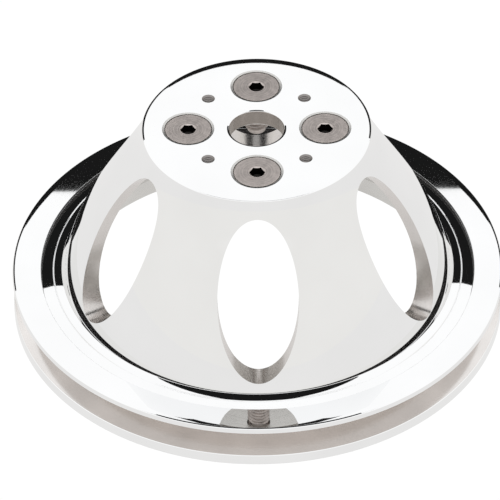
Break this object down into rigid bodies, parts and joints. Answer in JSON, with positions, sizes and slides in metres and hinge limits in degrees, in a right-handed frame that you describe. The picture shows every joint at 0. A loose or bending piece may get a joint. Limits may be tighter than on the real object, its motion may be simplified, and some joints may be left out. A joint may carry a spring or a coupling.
{
  "type": "water pump pulley",
  "caption": "Polished aluminium V-belt pulley for an engine water pump: flat hub with countersunk screws, flared hollow cone with oval windows, grooved belt rim.",
  "frame": {"origin": "on the pulley's axis, in the plane of the rim's rear face, on which the pulley rests", "axes": "+Z along the pulley's axis from the rim towards the hub face; one window faces -Y and one screw stands on each of +X, +Y, -X and -Y"},
  "size_m": [0.175, 0.175, 0.078],
  "materials": {
    "polished_aluminium": "mirror polished, clear",
    "screw_steel": "plain machined steel with turning marks"
  },
  "bodies": {
    "pulley": {"pulley_body": "polished_aluminium"},
    "screw_right": {"hub_screw_right": "screw_steel"},
    "screw_rear": {"hub_screw_rear": "screw_steel"},
    "screw_left": {"hub_screw_left": "screw_steel"},
    "screw_front": {"hub_screw_front": "screw_steel"}
  },
  "joints": [
    {"name": "screw_right_withdrawal", "type": "slide", "parent": "pulley", "child": "screw_right", "axis": [0, 0, 1], "range_m": [0, 0.022]},
    {"name": "screw_rear_withdrawal", "type": "slide", "parent": "pulley", "child": "screw_rear", "axis": [0, 0, 1], "range_m": [0, 0.022]},
    {"name": "screw_left_withdrawal", "type": "slide", "parent": "pulley", "child": "screw_left", "axis": [0, 0, 1], "range_m": [0, 0.022]},
    {"name": "screw_front_withdrawal", "type": "slide", "parent": "pulley", "child": "screw_front", "axis": [0, 0, 1], "range_m": [0, 0.022]}
  ]
}
